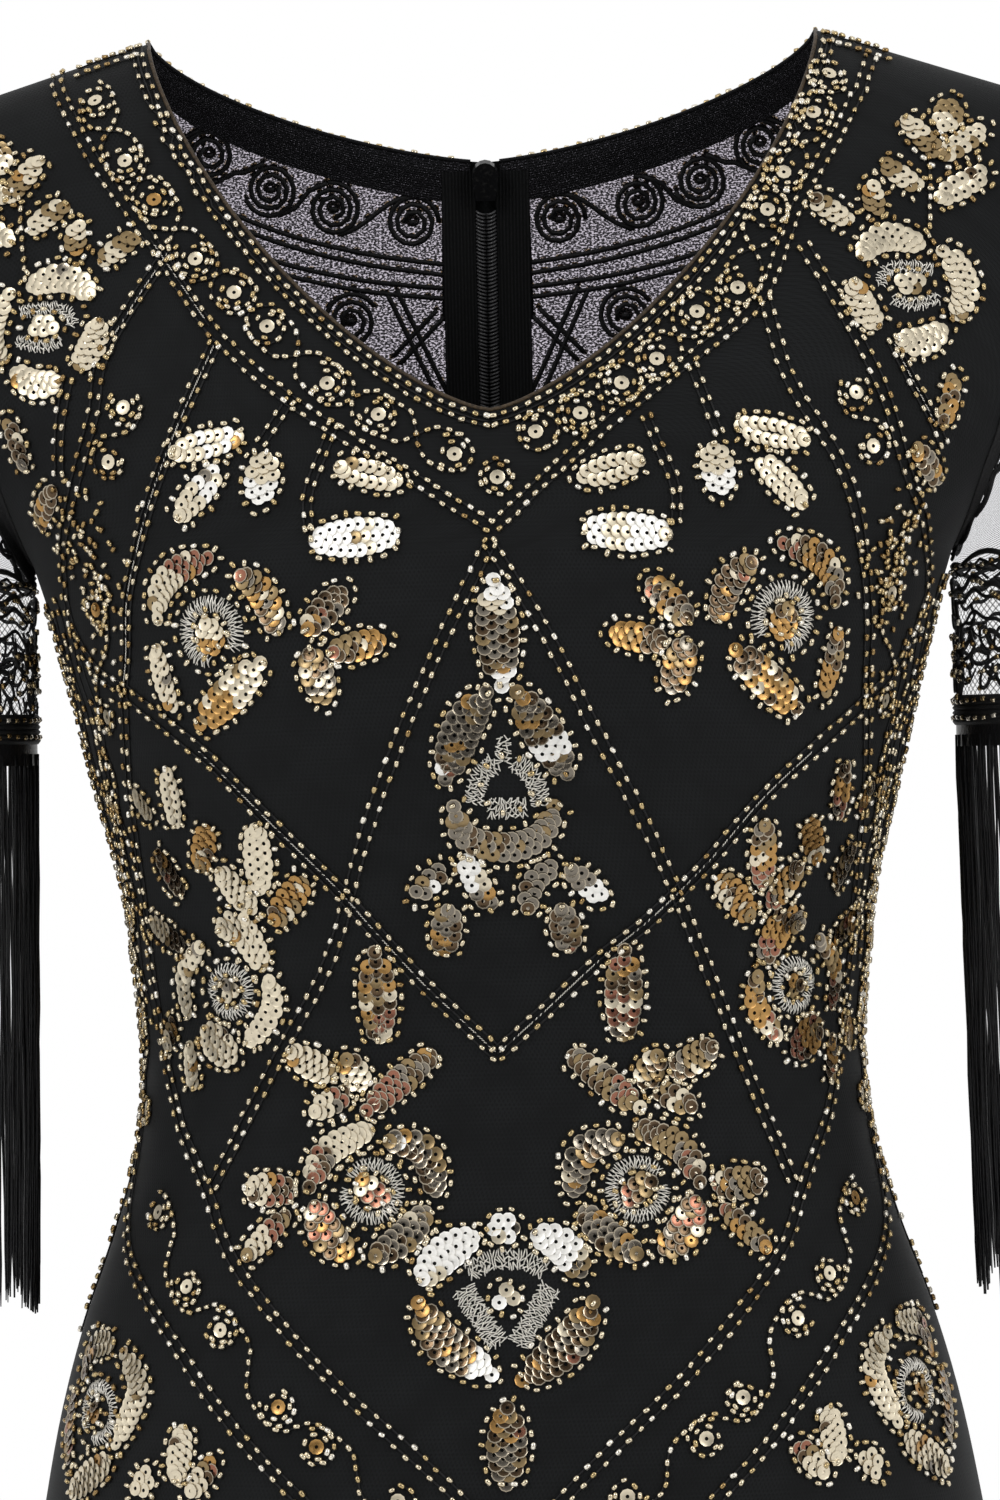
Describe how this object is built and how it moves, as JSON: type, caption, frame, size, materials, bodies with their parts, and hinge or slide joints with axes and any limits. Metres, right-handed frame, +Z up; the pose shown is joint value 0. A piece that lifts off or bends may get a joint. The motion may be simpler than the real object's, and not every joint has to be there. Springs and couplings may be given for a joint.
{
  "type": "flapper dress",
  "caption": "Black knee-length flapper dress with a V neck, short sheer sleeves with beaded lace cuffs and long fringe, gold sequin embroidery and a back zip.",
  "frame": {"origin": "midway between the neck ends of the two shoulder seams, at their height, where the wearer's shoulders hold the dress", "axes": "+Z up, the front faces -Y, the wearer's left is +X"},
  "size_m": [0.5164, 0.2494, 0.95],
  "materials": {
    "jersey": "matt black jersey under fine tulle",
    "mesh": "sheer black knitted mesh",
    "lace": "black net with corded and beaded lace",
    "fringe": "soft black rayon fringe, slight sheen",
    "tape": "ribbed black zip tape",
    "coil": "black nylon coil",
    "zip_metal": "black lacquered metal",
    "sequin": "pale gold metallised cup sequins",
    "bead": "gold-lined glass seed beads",
    "bullion": "silver metallic satin stitch",
    "cord": "black chain-stitch cord"
  },
  "bodies": {
    "dress": {"front_panel": "jersey", "back_panel_left": "jersey", "back_panel_right": "jersey", "sleeve_left": "mesh", "sleeve_right": "mesh", "cuff_left": "lace", "cuff_right": "lace", "fringe_left": "fringe", "fringe_right": "fringe", "neck_facing_left": "jersey", "neck_facing_right": "jersey", "zip_tape_left": "tape", "zip_tape_right": "tape", "zip_coil": "coil", "zip_slider": "zip_metal"},
    "zip_pull": {"zip_pull": "zip_metal"}
  },
  "joints": [
    {"name": "zip_pull_hinge", "type": "hinge", "parent": "dress", "child": "zip_pull", "pos_m": [0, 0.06478, -0.04048], "axis": [1, 0, 0], "range_deg": [0, 160]}
  ]
}
